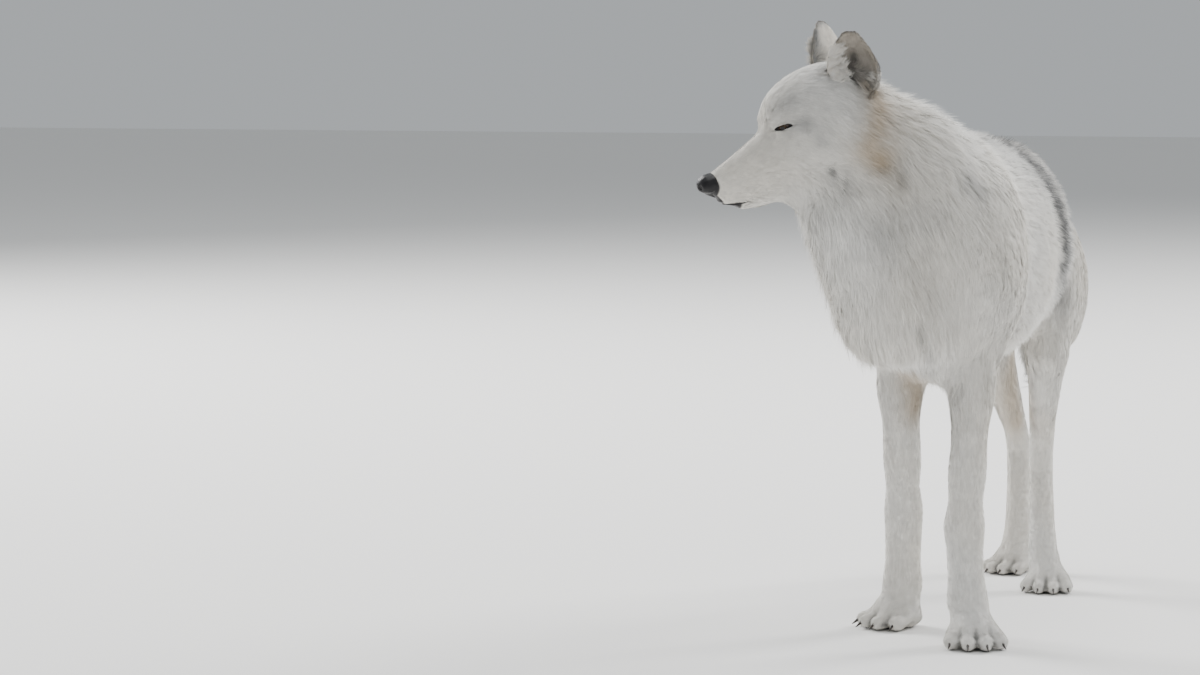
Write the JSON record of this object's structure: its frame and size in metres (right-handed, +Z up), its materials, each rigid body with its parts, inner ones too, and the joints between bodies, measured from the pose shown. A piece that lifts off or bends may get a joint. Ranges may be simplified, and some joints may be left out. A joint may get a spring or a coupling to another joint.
{
  "type": "arctic wolf",
  "caption": "Arctic wolf standing still in a thick white winter coat, head lowered and turned to look over its right shoulder, tail hanging.",
  "frame": {"origin": "on the floor, under the middle of the whole animal's box", "axes": "+Z up; +Y towards the rump, so the chest faces -Y; +X towards the animal's left side"},
  "size_m": [0.4472, 1.2112, 0.9789],
  "materials": {
    "coat": "matt, long soft hair",
    "nose": "moist, finely pebbled",
    "eye": "wet gloss",
    "claw": "dull horn"
  },
  "bodies": {
    "root": {"trunk": "coat", "neck": "coat", "tail": "coat", "head": "coat", "nose": "nose", "left_ear": "coat", "left_eye": "eye", "right_ear": "coat", "right_eye": "eye", "front_left_leg": "coat", "front_left_paw": "coat", "front_left_claw_1": "claw", "front_left_claw_2": "claw", "front_left_claw_3": "claw", "front_left_claw_4": "claw", "front_right_leg": "coat", "front_right_paw": "coat", "front_right_claw_1": "claw", "front_right_claw_2": "claw", "front_right_claw_3": "claw", "front_right_claw_4": "claw", "hind_left_leg": "coat", "hind_left_paw": "coat", "hind_left_claw_1": "claw", "hind_left_claw_2": "claw", "hind_left_claw_3": "claw", "hind_left_claw_4": "claw", "hind_right_leg": "coat", "hind_right_paw": "coat", "hind_right_claw_1": "claw", "hind_right_claw_2": "claw", "hind_right_claw_3": "claw", "hind_right_claw_4": "claw"}
  },
  "joints": []
}
